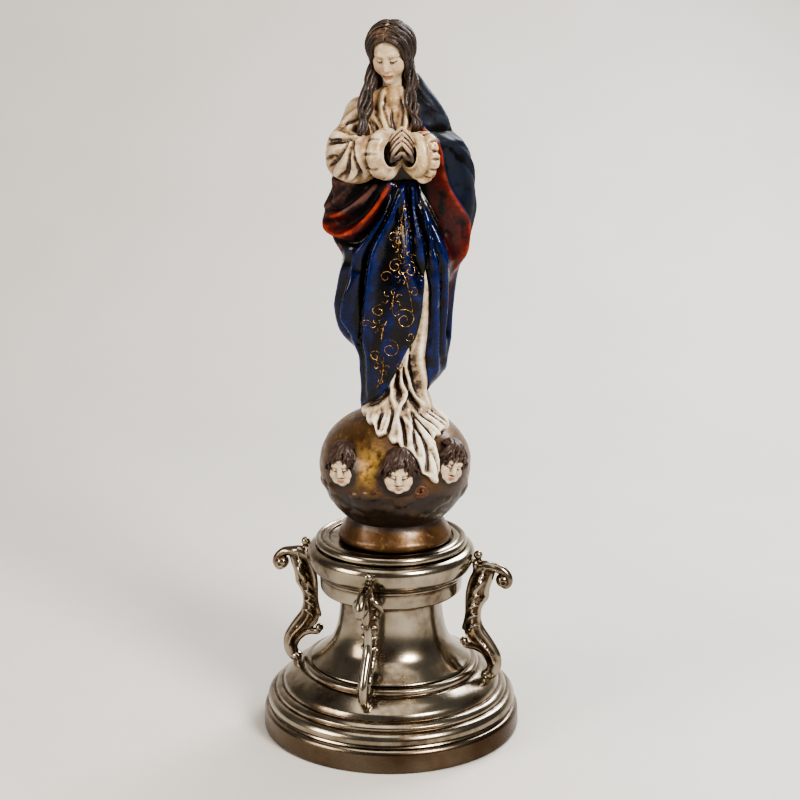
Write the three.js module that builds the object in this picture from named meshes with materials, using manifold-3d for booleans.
// A painted Madonna figure on a globe, standing on a silver-plated pedestal with four scroll brackets.
// Millimetres. +Z is up, the figure faces -Y, and the origin is the centre of the underside.
import * as THREE from "three";
import { mergeVertices } from "three/addons/utils/BufferGeometryUtils.js";
import Module from "manifold-3d";

const wasm = await Module();
wasm.setup();

// ---- driving dimensions -------------------------------------------------------------------------
const GAP = 0.3; // clearance between neighbouring pieces
const SHEET = 1.2; // wall of the spun pedestal pieces
const COLUMN_WALL = 1.56; // the column's wall, measured level
const ROUND = 28; // facets round a turned piece
const BASE_R = 63; // radius of the pedestal's lowest band
const FELT_R = 60;
const FELT_T = 1.2;
const PLATE_R = 61;
const PLATE_T = 1.4;
const BAND_BOTTOM = 0.6; // the band hangs just clear of the surface that the felt rests on
const WEB_Z = 33.8; // top of the foot, where the column stands
const CORNICE_Z = 70.2; // underside of the cornice, where it rests on the column
const DAIS_Z = 97; // top of the pedestal
const SEAT_R = 30.2; // shallow seat that the globe's foot drops into
const SEAT_DEPTH = 1.2;
const ROD_R = 3; // centre tie rod
const ROD_BOTTOM = 20;
const ROD_TOP = 104;
const WASHER_T = 1;
const NUT_T = 4;
const NUT_R = 5;
const BRACKETS = 4;
const BRACKET_TURN = -14; // degrees from the front to the first bracket
const BRACKET_T = 5.6;
const SCREW_R = 1.1;
const SCREW_HEAD_R = 2.1;
const SCREW_HEAD_T = 1.1;
const SCREW_BITE = 3; // how far a screw reaches into its bracket
const HOLE_REACH = 2; // how far a screw hole runs past the sheet behind it
const FIGURE_X = 2; // the figure stands a little to the right of the pedestal's axis
const GLOBE_R = 36.4;
const GLOBE_Z = 134; // height of the globe's widest ring
const GLOBE_UP = 28.3; // half heights above and below that ring
const GLOBE_DOWN = 33.5;
const FOOT_R = 27.5; // foot of the globe
const SOCKET_R = 9; // hollow under the globe that clears the tie rod's nut
const SOCKET_TOP = 112;
const DOWEL_R = 2.5; // pin that holds the figure on the globe
const DOWEL_BOTTOM = 146;
const DOWEL_TOP = 185;
const PALMS_X = 2.8; // plane where the joined palms meet, from the figure's axis
const CHERUB_Z = 138.5; // height of the cherub heads' centres

// ---- helpers ------------------------------------------------------------------------------------
const v2 = (x, y) => new THREE.Vector2(x, y);
const v3 = (x, y, z) => new THREE.Vector3(x, y, z);

function toSolid(geometry) {
  const bare = geometry.index ? geometry.toNonIndexed() : geometry.clone();
  bare.deleteAttribute("normal");
  bare.deleteAttribute("uv");
  const merged = mergeVertices(bare, 1e-4);
  const vertProperties = merged.attributes.position.array;
  const triVerts = new Uint32Array(merged.index.array);
  const build = () => new wasm.Manifold(new wasm.Mesh({ numProp: 3, vertProperties, triVerts }));
  const solid = build();
  if (solid.volume() > 0) return solid;
  for (let i = 0; i < triVerts.length; i += 3) {
    [triVerts[i + 1], triVerts[i + 2]] = [triVerts[i + 2], triVerts[i + 1]];
  }
  return build();
}

function toGeometry(solid) {
  const mesh = solid.getMesh();
  const points = new Float32Array(mesh.numVert * 3);
  for (let i = 0; i < mesh.numVert; i++) {
    points.set(mesh.vertProperties.subarray(i * mesh.numProp, i * mesh.numProp + 3), i * 3);
  }
  const geometry = new THREE.BufferGeometry();
  geometry.setAttribute("position", new THREE.BufferAttribute(points, 3));
  geometry.setIndex(new THREE.BufferAttribute(mesh.triVerts, 1));
  geometry.computeVertexNormals();
  return geometry;
}

// The largest body of a solid that a cut has split.
function mainBody(solid) {
  return solid.decompose().reduce((a, b) => (a.volume() > b.volume() ? a : b));
}

const cut = (solid, ...tools) => tools.reduce((left, tool) => left.subtract(tool), solid);
const join = (...solids) => solids.reduce((sum, solid) => sum.add(solid));

// A turned solid from a profile of (radius, height) points that starts and ends on the axis or closes.
function turned(profile, facets = ROUND) {
  return toSolid(new THREE.LatheGeometry(profile, facets).rotateX(Math.PI / 2));
}

// The profile moved sideways by a distance: left of its direction, which is inwards on the way up.
function offset(profile, distance) {
  return profile.map((p, i) => {
    const before = profile[Math.max(i - 1, 0)];
    const after = profile[Math.min(i + 1, profile.length - 1)];
    const into = i ? p.clone().sub(before).normalize() : after.clone().sub(p).normalize();
    const out = i < profile.length - 1 ? after.clone().sub(p).normalize() : into;
    const normal = v2(-(into.y + out.y), into.x + out.x).normalize();
    const spread = Math.max(0.5, normal.dot(v2(-into.y, into.x)));
    return p.clone().addScaledVector(normal, distance / spread);
  });
}

// A spun sheet piece: the outer profile with a wall behind it.
function spun(profile, wall = SHEET) {
  return turned([...profile, ...offset(profile, wall).reverse(), profile[0]]);
}

function disc(radius, bottom, top, facets = ROUND) {
  const profile = [v2(0, bottom), v2(radius, bottom), v2(radius, top), v2(0, top)];
  return turned(profile, facets);
}

function ring(outer, inner, bottom, top, facets = 24) {
  const corners = [v2(inner, bottom), v2(outer, bottom), v2(outer, top), v2(inner, top)];
  return turned([...corners, corners[0]], facets);
}

function nut(bottom, top) {
  return disc(NUT_R, bottom, top, 6).subtract(disc(ROD_R + GAP, bottom - 1, top + 1, 24));
}

// A round bar from one point along a direction.
function bar(start, direction, length, radius, facets = 10) {
  const geometry = new THREE.CylinderGeometry(radius, radius, length, facets);
  geometry.translate(0, length / 2, 0);
  geometry.applyQuaternion(new THREE.Quaternion().setFromUnitVectors(v3(0, 1, 0), direction));
  return toSolid(geometry.translate(start.x, start.y, start.z));
}

function ellipsoid(centre, radii, facets = 12) {
  const geometry = new THREE.SphereGeometry(1, facets, Math.round(facets * 0.7));
  geometry.rotateX(Math.PI / 2).scale(radii.x, radii.y, radii.z);
  return toSolid(geometry.translate(centre.x, centre.y, centre.z));
}

// A tapered round limb with rounded ends, from a to b.
function limb(a, b, radiusA, radiusB, facets = 12) {
  const length = a.distanceTo(b);
  const cap = 3;
  const profile = [];
  for (let i = 0; i <= cap; i++) {
    const angle = (i / cap) * (Math.PI / 2);
    profile.push(v2(radiusA * Math.sin(angle), -radiusA * Math.cos(angle)));
  }
  for (let i = 0; i <= cap; i++) {
    const angle = (i / cap) * (Math.PI / 2);
    profile.push(v2(radiusB * Math.cos(angle), length + radiusB * Math.sin(angle)));
  }
  const geometry = new THREE.LatheGeometry(profile, facets);
  const along = b.clone().sub(a).normalize();
  geometry.applyQuaternion(new THREE.Quaternion().setFromUnitVectors(v3(0, 1, 0), along));
  return toSolid(geometry.translate(a.x, a.y, a.z));
}

// A closed solid through oval sections: [height, centre x, centre y, x radius, y radius].
function loft(sections, grow = 0, facets = 24) {
  const points = [];
  const faces = [];
  const rows = sections.length;
  sections.forEach(([z, cx, cy, rx, ry], row) => {
    const lift = row === 0 ? -grow : row === rows - 1 ? grow : 0;
    for (let i = 0; i < facets; i++) {
      const angle = (i / facets) * 2 * Math.PI;
      points.push(cx + (rx + grow) * Math.cos(angle), cy + (ry + grow) * Math.sin(angle), z + lift);
    }
  });
  for (let row = 0; row < rows - 1; row++) {
    for (let i = 0; i < facets; i++) {
      const a = row * facets + i;
      const b = row * facets + ((i + 1) % facets);
      faces.push(a, b, b + facets, a, b + facets, a + facets);
    }
  }
  for (const [row, flip] of [[0, true], [rows - 1, false]]) {
    const [z, cx, cy] = sections[row];
    const centre = points.length / 3;
    points.push(cx, cy, z + (flip ? -grow : grow));
    for (let i = 0; i < facets; i++) {
      const a = row * facets + i;
      const b = row * facets + ((i + 1) % facets);
      faces.push(centre, ...(flip ? [b, a] : [a, b]));
    }
  }
  const geometry = new THREE.BufferGeometry();
  geometry.setAttribute("position", new THREE.Float32BufferAttribute(points, 3));
  geometry.setIndex(faces);
  return toSolid(geometry);
}

// A prism with its outline in the XZ plane, from y = back to y = front.
function slab(outline, back, front) {
  const shape = new THREE.Shape(outline);
  const options = { depth: back - front, bevelEnabled: false };
  const geometry = new THREE.ExtrudeGeometry(shape, options);
  return toSolid(geometry.rotateX(Math.PI / 2).translate(0, back, 0));
}

function material(color, roughness, metalness) {
  return new THREE.MeshStandardMaterial({ color, roughness, metalness });
}

const silver = material(0x9c978c, 0.28, 1);
const steel = material(0x8a8a8a, 0.4, 1);
const felt = material(0x1f3b2a, 0.95, 0);
const gilding = material(0x7a5320, 0.4, 0.5);
const skin = material(0xe2cfb0, 0.35, 0);
const cream = material(0xe9dcc0, 0.35, 0);
const blue = material(0x12275a, 0.25, 0);
const brown = material(0x2a1a14, 0.35, 0);
const timber = material(0x734d2e, 0.6, 0);

const model = new THREE.Group();

function add(name, solid, look, parent = model) {
  const mesh = new THREE.Mesh(toGeometry(mainBody(solid)), look);
  mesh.name = name;
  parent.add(mesh);
}

// ---- pedestal profiles, each from its outer bottom edge inwards -----------------------------------
function footProfile() {
  const path = new THREE.Path();
  path.moveTo(BASE_R, BAND_BOTTOM);
  path.lineTo(62.6, 10.2);
  path.lineTo(61.4, 11.3);
  path.lineTo(58.8, 12.2);
  path.quadraticCurveTo(60.4, 15.5, 58.2, 18);
  path.lineTo(55.5, 19.4);
  path.lineTo(52.6, 21.2);
  path.lineTo(51.5, 24.2);
  path.lineTo(44, 30.2);
  path.lineTo(42, 31);
  path.lineTo(40.9, WEB_Z);
  path.lineTo(ROD_R + GAP, WEB_Z);
  return path.getPoints(3);
}

function columnProfile() {
  const path = new THREE.Path();
  path.moveTo(39.6, WEB_Z + GAP);
  path.quadraticCurveTo(28.5, 41.5, 25.6, 53);
  path.quadraticCurveTo(24.2, 61, 24.6, CORNICE_Z - GAP);
  return path.getPoints(3);
}

function corniceProfile() {
  const path = new THREE.Path();
  path.moveTo(ROD_R + GAP, CORNICE_Z);
  path.lineTo(34.4, CORNICE_Z);
  path.lineTo(34.8, 79.3);
  path.lineTo(36, 80.2);
  path.quadraticCurveTo(39.6, 82, 40.6, 86.5);
  path.quadraticCurveTo(41, 91.5, 36.4, 92.7);
  return path.getPoints(2);
}

// The column's wall is set in level by level, so that both of its ends stay flat.
function columnSolid() {
  const outside = columnProfile();
  const inside = outside.map((p) => v2(p.x - COLUMN_WALL, p.y));
  return turned([...outside, ...inside.reverse(), outside[0]]);
}

const daisProfile = [
  v2(36.2, 93),
  v2(35.6, 96.4),
  v2(34.8, DAIS_Z),
  v2(SEAT_R, DAIS_Z),
  v2(SEAT_R, DAIS_Z - SEAT_DEPTH),
  v2(ROD_R + GAP, DAIS_Z - SEAT_DEPTH),
];

function globeProfile(grow = 0) {
  const waist = -52; // degrees below the widest ring where the globe meets its foot
  const points = [];
  for (let angle = waist; angle < 89; angle += 15.8) {
    const rise = angle < 0 ? GLOBE_DOWN : GLOBE_UP;
    const turn = THREE.MathUtils.degToRad(angle);
    const radius = (GLOBE_R + grow) * Math.cos(turn);
    points.push(v2(radius, GLOBE_Z + (rise + grow) * Math.sin(turn)));
  }
  points.push(v2(0, GLOBE_Z + GLOBE_UP + grow));
  return points;
}

// ---- pedestal -----------------------------------------------------------------------------------
const seatFloor = DAIS_Z - SEAT_DEPTH;
const footWasher = [WEB_Z - SHEET - GAP - WASHER_T, WEB_Z - SHEET - GAP];
const topWasher = [seatFloor + GAP, seatFloor + GAP + WASHER_T];

// Both of a bracket's screws lie in its own plane: x outwards, z up.
const slope = v3(6, 0, 7.5).normalize(); // outward normal of the foot's sloping shoulder
const shoulder = v3(48.2, 0, 26.84); // where the bracket stands on it
const wallPoint = v3(40.6, 0, 86.8); // where the bracket meets the cornice
const outwards = v3(1, 0, 0);

function screwSolid(surface, direction, slack) {
  const headStart = surface.clone().addScaledVector(direction, -SHEET - slack - SCREW_HEAD_T);
  const head = bar(headStart, direction, SCREW_HEAD_T, SCREW_HEAD_R);
  const shank = bar(headStart, direction, SCREW_HEAD_T + SHEET + slack + SCREW_BITE, SCREW_R);
  return head.add(shank);
}

function screwHole(surface, direction) {
  const start = surface.clone().addScaledVector(direction, -SHEET - HOLE_REACH);
  return bar(start, direction, SHEET + HOLE_REACH + SCREW_BITE + 0.4, SCREW_R + GAP);
}

function bracketSolid() {
  const shape = new THREE.Shape();
  shape.moveTo(46.6, 30.6);
  shape.lineTo(49.6, 34.5);
  shape.quadraticCurveTo(49.2, 38.5, 46, 41);
  shape.lineTo(39, 42.4);
  shape.lineTo(36.2, 43.6);
  shape.lineTo(37.6, 49.4);
  shape.lineTo(35.6, 51.6);
  shape.lineTo(37, 55);
  shape.quadraticCurveTo(35.6, 66, 37.4, 72);
  shape.quadraticCurveTo(39.4, 79, 41.4, 84);
  shape.lineTo(41.1, 89.4);
  shape.lineTo(44.4, 90);
  shape.lineTo(45.4, 86.4);
  shape.quadraticCurveTo(56, 88.6, 60, 79.4);
  shape.lineTo(58.6, 75.2);
  shape.lineTo(54.4, 75.4);
  shape.quadraticCurveTo(54.6, 80.6, 50.6, 80.4);
  shape.lineTo(48, 74);
  shape.lineTo(48.6, 68.6);
  shape.quadraticCurveTo(44.2, 65, 44.4, 58);
  shape.quadraticCurveTo(46, 50, 51.4, 44);
  shape.quadraticCurveTo(57.4, 36, 53, 28.6);
  shape.lineTo(50, 25);
  shape.lineTo(45.6, 28);
  const options = { depth: BRACKET_T, bevelEnabled: false, curveSegments: 3 };
  const geometry = new THREE.ExtrudeGeometry(shape, options);
  const stem = toSolid(geometry.rotateX(Math.PI / 2).translate(0, BRACKET_T / 2, 0));
  const balls = [
    ellipsoid(v3(43.4, 0, 90.4), v3(2.2, 2.2, 2.2), 8),
    ellipsoid(v3(56.4, 0, 77.4), v3(3.8, 3.8, 3.8), 10),
  ];
  const outline = footProfile();
  const filled = offset(outline, -GAP);
  const foot = turned([v2(0, BAND_BOTTOM), ...filled, v2(0, WEB_Z + GAP)]);
  const corniceOut = offset(corniceProfile(), -GAP);
  const cornice = turned([v2(0, CORNICE_Z - GAP), ...corniceOut, v2(0, 93)]);
  const holes = [screwHole(shoulder, slope), screwHole(wallPoint, outwards)];
  return cut(join(stem, ...balls), foot, cornice, ...holes);
}

function turnedBy(solid, degrees) {
  return solid.rotate([0, 0, degrees]);
}

const bracketAngles = Array.from(
  { length: BRACKETS },
  (_, i) => BRACKET_TURN - 90 + (i * 360) / BRACKETS,
);
const allHoles = (surface, direction) =>
  bracketAngles.map((angle) => turnedBy(screwHole(surface, direction), angle));

add("felt_pad", disc(FELT_R, 0, FELT_T), felt);
add("closing_plate", disc(PLATE_R, FELT_T + GAP, FELT_T + GAP + PLATE_T), steel);
add("foot_ring", cut(spun(footProfile()), ...allHoles(shoulder, slope)), silver);
add("column", columnSolid(), silver);
add("cornice", cut(spun(corniceProfile()), ...allHoles(wallPoint, outwards)), silver);
add("dais", spun(daisProfile), silver);
add("tie_rod", disc(ROD_R, ROD_BOTTOM, ROD_TOP, 16), steel);
add("foot_washer", ring(14, ROD_R + GAP, ...footWasher), steel);
add("seat_washer", ring(7, ROD_R + GAP, ...topWasher), steel);
const lowerNutTop = footWasher[0] - GAP;
add("foot_nut", nut(lowerNutTop - NUT_T, lowerNutTop), steel);
const upperNutBottom = topWasher[1] + GAP;
add("seat_nut", nut(upperNutBottom, upperNutBottom + NUT_T), steel);

const bracket = bracketSolid();
const places = ["front", "right", "back", "left"];
bracketAngles.forEach((angle, i) => {
  add("bracket_" + places[i], turnedBy(bracket, angle), silver);
  add("lower_screw_" + places[i], turnedBy(screwSolid(shoulder, slope, GAP), angle), steel);
  add("upper_screw_" + places[i], turnedBy(screwSolid(wallPoint, outwards, 1), angle), steel);
});

// ---- figure -------------------------------------------------------------------------------------
// Everything above the seat stands in its own group, set a little off the pedestal's axis.
const figure = new THREE.Group();
figure.position.x = FIGURE_X;
model.add(figure);

const globeSurface = (grow) =>
  turned([v2(0, 104), ...globeProfile(grow).map((p) => v2(p.x, Math.max(p.y, 104)))]);

function globeSolid() {
  const foot = new THREE.Path();
  foot.moveTo(SOCKET_R, seatFloor + GAP);
  foot.lineTo(FOOT_R, seatFloor + GAP);
  foot.lineTo(FOOT_R, 98.6);
  foot.quadraticCurveTo(23.4, 101, 22.4, 107.6);
  const body = turned([
    ...foot.getPoints(3),
    ...globeProfile().slice(1),
    v2(0, SOCKET_TOP),
    v2(SOCKET_R, SOCKET_TOP),
    v2(SOCKET_R, seatFloor + GAP),
  ]);
  const dowelHole = bar(v3(0, 0, DOWEL_BOTTOM - GAP), v3(0, 0, 1), 30, DOWEL_R + GAP);
  return body.subtract(dowelHole);
}

const dowelClearance = bar(
  v3(0, 0, DOWEL_BOTTOM),
  v3(0, 0, 1),
  DOWEL_TOP - DOWEL_BOTTOM + GAP,
  DOWEL_R + GAP,
);

// Cherub heads in relief on the front of the globe, by degrees round from the front.
const cherubs = { left: -41, centre: 3, right: 47 };
function cherubRaw(angle, grow = 0) {
  const turn = THREE.MathUtils.degToRad(angle);
  const reach = GLOBE_R - 1.5;
  const centre = v3(reach * Math.sin(turn), -reach * Math.cos(turn), CHERUB_Z);
  const head = ellipsoid(v3(0, 0, 0), v3(7.6 + grow, 6.4 + grow, 10 + grow));
  const wingSpread = 8.5;
  const wings = [-1, 1].map((side) =>
    ellipsoid(v3(side * wingSpread, 1.2, -9), v3(4.6 + grow, 2.8 + grow, 3.4 + grow), 8),
  );
  return join(head, ...wings)
    .rotate([0, 0, angle])
    .translate([centre.x, centre.y, centre.z]);
}

// Oval sections: [height, centre x, centre y, x radius, y radius].
const skirtSections = [
  [157, 2, -1, 19, 17],
  [165, 1.5, -1, 16, 14],
  [180, 3, -1, 15.5, 13.5],
  [200, 1, -1, 19.5, 15.5],
  [225, 2, -1, 21, 16.5],
  [245, 1, 0, 20, 16],
  [262, 0, 0, 18, 14],
];
const bodiceSections = [
  [262.3, 0, 0, 18, 14],
  [276, -1, 0, 19.5, 14],
  [290, -1, 1, 20.5, 12.5],
  [299, -1, 1, 17, 10.5],
  [305, -2, 1, 10.5, 9],
  [308, -2, 1, 7.5, 7.5],
];
const mantleSections = [
  [163, 0.5, 1, 15.8, 15.5],
  [172, 1.5, 1, 17.5, 16.5],
  [180, 4.5, 1, 20.5, 17.5],
  [192, 3.5, 1, 21.8, 18],
  [200, 0.5, 1, 25.6, 19],
  [218, 1, 1, 27, 20],
  [232, 2.5, 1, 28.6, 20.5],
  [242, 1, 1, 32.6, 21.5],
  [253, 1.4, 1, 34.8, 22],
  [262, 3, 2, 34.4, 21],
  [270, 11, 3, 26, 19],
  [285, 11, 4, 21.6, 15.5],
  [298, 8, 5, 15.5, 11.5],
  [306, 4, 6, 11, 7.5],
];
const neckBottom = v3(-2, -1, 304);
const headCentre = v3(-2.2, -3, 327);

const headRaw = (grow = 0) =>
  join(
    limb(neckBottom, v3(-2, -1, 318), 5.2 + grow, 5.2 + grow),
    ellipsoid(headCentre, v3(8.4 + grow, 9.6 + grow, 12.6 + grow), 14),
  );

const hairFall = [
  [284, -1, 14, 12, 3.5],
  [300, -2, 11.5, 14.5, 6],
  [312, -2, 7, 12.5, 8],
  [326, -2.2, 3, 10, 9],
];
// Locks that lie over the shoulders: [top, bottom, top radius, bottom radius].
const hairLocks = [
  [v3(-11, -2, 324), v3(-14, -8, 304), 3.4, 4.2],
  [v3(-14, -8, 304), v3(-12.5, -15.5, 291), 4.2, 2.2],
  [v3(6.5, -2, 324), v3(8.5, -8, 306), 3.4, 3.8],
  [v3(8.5, -8, 306), v3(10.5, -14.5, 294), 3.8, 2],
];
function hairRaw(grow = 0) {
  const cap = ellipsoid(v3(-2, 0, 329), v3(11.8 + grow, 12.4 + grow, 13.9 + grow), 16);
  const locks = hairLocks.map(([a, b, wide, thin]) => limb(a, b, wide + grow, thin + grow, 8));
  return join(cap, loft(hairFall, grow), ...locks);
}
const faceOpening = () => {
  const oval = ellipsoid(v3(-2.2, -13, 325), v3(7.6, 9, 10.5), 14);
  const throat = bar(v3(-2, -16, 311), v3(0, 1, 0), 12, 6);
  return join(oval, throat);
};

// Arms folded so that both wide cuffs meet at the joined hands: [shoulder, elbow, cuff].
const arms = {
  right: [v3(-19, 1, 293), v3(-22.5, -4, 275), v3(-5.5, -17, 278)],
  left: [v3(17, 1, 293), v3(22, -4, 275), v3(9, -17, 279)],
};
const sleeveRaw = ([shoulder3, elbow, cuff], grow = 0) =>
  join(
    limb(shoulder3, elbow, 8.6 + grow, 9.2 + grow),
    limb(elbow, cuff, 9.2 + grow, 8.8 + grow),
  );

function handRaw(side, grow = 0) {
  const wrist = v3(PALMS_X + side * 4.4, -20, 283.5);
  const palm = v3(PALMS_X + side * 1.8 + side * grow, -24, 290);
  const tips = v3(PALMS_X + side * 1.7 + side * grow, -25.5, 297.5);
  return join(
    limb(wrist, palm, 2.6 + grow, 2.4 + grow, 10),
    limb(palm, tips, 2.2 + grow, 1.2 + grow, 10),
  );
}
// Each hand keeps to its own side of the plane where the palms meet.
const half = (side, inset) => {
  const near = PALMS_X + side * inset;
  const far = PALMS_X + side * 40;
  return slab([v2(near, 270), v2(far, 270), v2(far, 310), v2(near, 310)], 10, -45);
};

// The long front opening between the mantle's two edges, which shows the white gown.
const frontOpening = slab(
  [v2(-20, 150), v2(30, 150), v2(24, 176), v2(16, 184), v2(12.5, 215), v2(8.5, 262),
    v2(6, 262), v2(9.5, 215), v2(8, 196), v2(-1, 172), v2(-16, 160)],
  -4,
  -45,
);
// The mantle leaves the chest, the right arm and everything above the waist on that side bare.
const bareChest = slab(
  [v2(-60, 263), v2(4, 263), v2(9, 275), v2(9, 312), v2(-60, 312)],
  7,
  -45,
);
const bareShoulder = slab([v2(-60, 263), v2(-14, 263), v2(-7, 312), v2(-60, 312)], 45, -45);

// The gown's train spreads over the front right of the globe.
const train = globeSurface(4)
  .subtract(globeSurface(GAP))
  .intersect(
    slab(
      [v2(-18, 165), v2(-15.4, 159), v2(-4.7, 153), v2(5, 147), v2(14, 138), v2(21.5, 131),
        v2(24.5, 137), v2(29, 151), v2(22, 165)],
      -8,
      -45,
    ),
  );

const cherubNames = Object.keys(cherubs);
const cherubBlocks = cherubNames.map((side) => cherubRaw(cherubs[side], GAP));
const sleeves = Object.fromEntries(Object.keys(arms).map((side) => [side, sleeveRaw(arms[side])]));
const grownSleeves = Object.keys(arms).map((side) => sleeveRaw(arms[side], GAP));
const grownHands = join(handRaw(-1, GAP), handRaw(1, GAP));
const grownHead = headRaw(GAP);

add("globe", globeSolid(), gilding, figure);
for (const side of cherubNames) {
  add("cherub_" + side, cut(cherubRaw(cherubs[side]), globeSurface(GAP)), skin, figure);
}
const dowel = bar(v3(0, 0, DOWEL_BOTTOM), v3(0, 0, 1), DOWEL_TOP - DOWEL_BOTTOM, DOWEL_R);
add("figure_dowel", dowel, timber, figure);
const skirt = join(loft(skirtSections), train);
add("gown_skirt", cut(skirt, globeSurface(GAP), dowelClearance, ...cherubBlocks), cream, figure);
add("bodice", cut(loft(bodiceSections), grownHead), cream, figure);
add("head", headRaw(), skin, figure);
for (const [name, side] of [["hand_right", -1], ["hand_left", 1]]) {
  add(name, handRaw(side).intersect(half(side, GAP / 2)), skin, figure);
}
const grownBodice = loft(bodiceSections, GAP);
const grownSkirt = loft(skirtSections, GAP);
for (const [side, inset] of [["right", -1], ["left", 1]]) {
  const kept = sleeves[side].intersect(half(inset, GAP / 2));
  add("sleeve_" + side, cut(kept, grownBodice, grownSkirt, grownHands), cream, figure);
}
const clothed = [grownBodice, grownSkirt, ...grownSleeves];
add("hair", cut(hairRaw(), grownHead, faceOpening(), ...clothed, grownHands), brown, figure);
const mantle = cut(
  loft(mantleSections),
  ...clothed,
  grownHead,
  hairRaw(GAP),
  grownHands,
  frontOpening,
  bareChest,
  bareShoulder,
  globeSurface(GAP),
);
add("mantle", mantle, blue, figure);

export default model;
